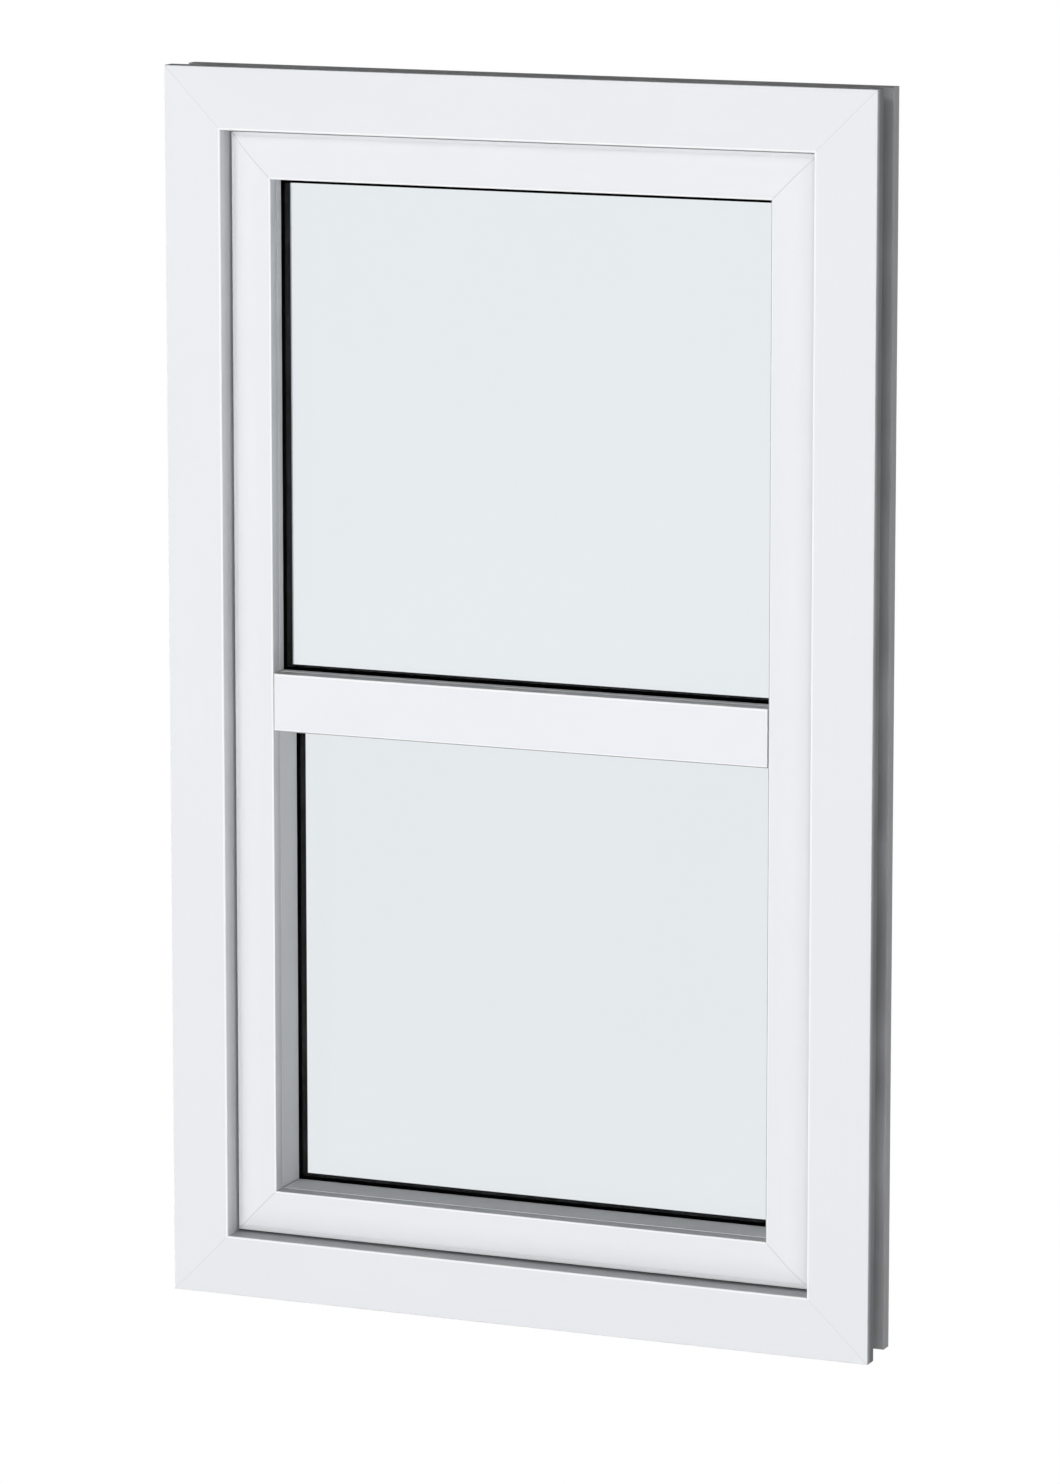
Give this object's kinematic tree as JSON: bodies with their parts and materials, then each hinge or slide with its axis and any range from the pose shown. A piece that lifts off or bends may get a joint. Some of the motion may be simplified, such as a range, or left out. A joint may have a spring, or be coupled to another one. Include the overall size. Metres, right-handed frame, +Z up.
{
  "type": "simulated hung window",
  "caption": "White vinyl window with a fixed frame, a meeting rail and two fixed insulated panes, made to look like a hung sash window.",
  "frame": {"origin": "on the rear face of the wall flange, halfway up the sill's flange, on the window's centre line", "axes": "+Z up, -Y towards the outside of the building, +X to the right seen from outside"},
  "size_m": [0.61, 0.1155, 1.016],
  "materials": {
    "frame_vinyl": "satin white vinyl extrusion",
    "sash_vinyl": "satin white vinyl extrusion",
    "glazing_vinyl": "satin white vinyl extrusion",
    "weatherstrip": "matt dark grey",
    "spacer": "matt black",
    "glass": "clear float glass"
  },
  "bodies": {
    "root": {"frame_head": "frame_vinyl", "frame_left_jamb": "frame_vinyl", "frame_right_jamb": "frame_vinyl", "frame_sill": "frame_vinyl", "lower_bead_bottom": "glazing_vinyl", "lower_bead_left": "glazing_vinyl", "lower_bead_right": "glazing_vinyl", "lower_bead_top": "glazing_vinyl", "lower_inner_pane": "glass", "lower_outer_pane": "glass", "lower_setting_blocks": "weatherstrip", "lower_spacer": "spacer", "lower_stop_bottom": "glazing_vinyl", "lower_stop_left": "glazing_vinyl", "lower_stop_right": "glazing_vinyl", "lower_stop_top": "glazing_vinyl", "meeting_rail": "sash_vinyl", "sash_bottom_rail": "sash_vinyl", "sash_left_stile": "sash_vinyl", "sash_right_stile": "sash_vinyl", "sash_top_rail": "sash_vinyl", "upper_bead_bottom": "glazing_vinyl", "upper_bead_left": "glazing_vinyl", "upper_bead_right": "glazing_vinyl", "upper_bead_top": "glazing_vinyl", "upper_inner_pane": "glass", "upper_outer_pane": "glass", "upper_setting_blocks": "weatherstrip", "upper_spacer": "spacer", "upper_stop_bottom": "glazing_vinyl", "upper_stop_left": "glazing_vinyl", "upper_stop_right": "glazing_vinyl", "upper_stop_top": "glazing_vinyl", "weatherstrip_head": "weatherstrip", "weatherstrip_left": "weatherstrip", "weatherstrip_right": "weatherstrip", "weatherstrip_sill": "weatherstrip"}
  },
  "joints": []
}
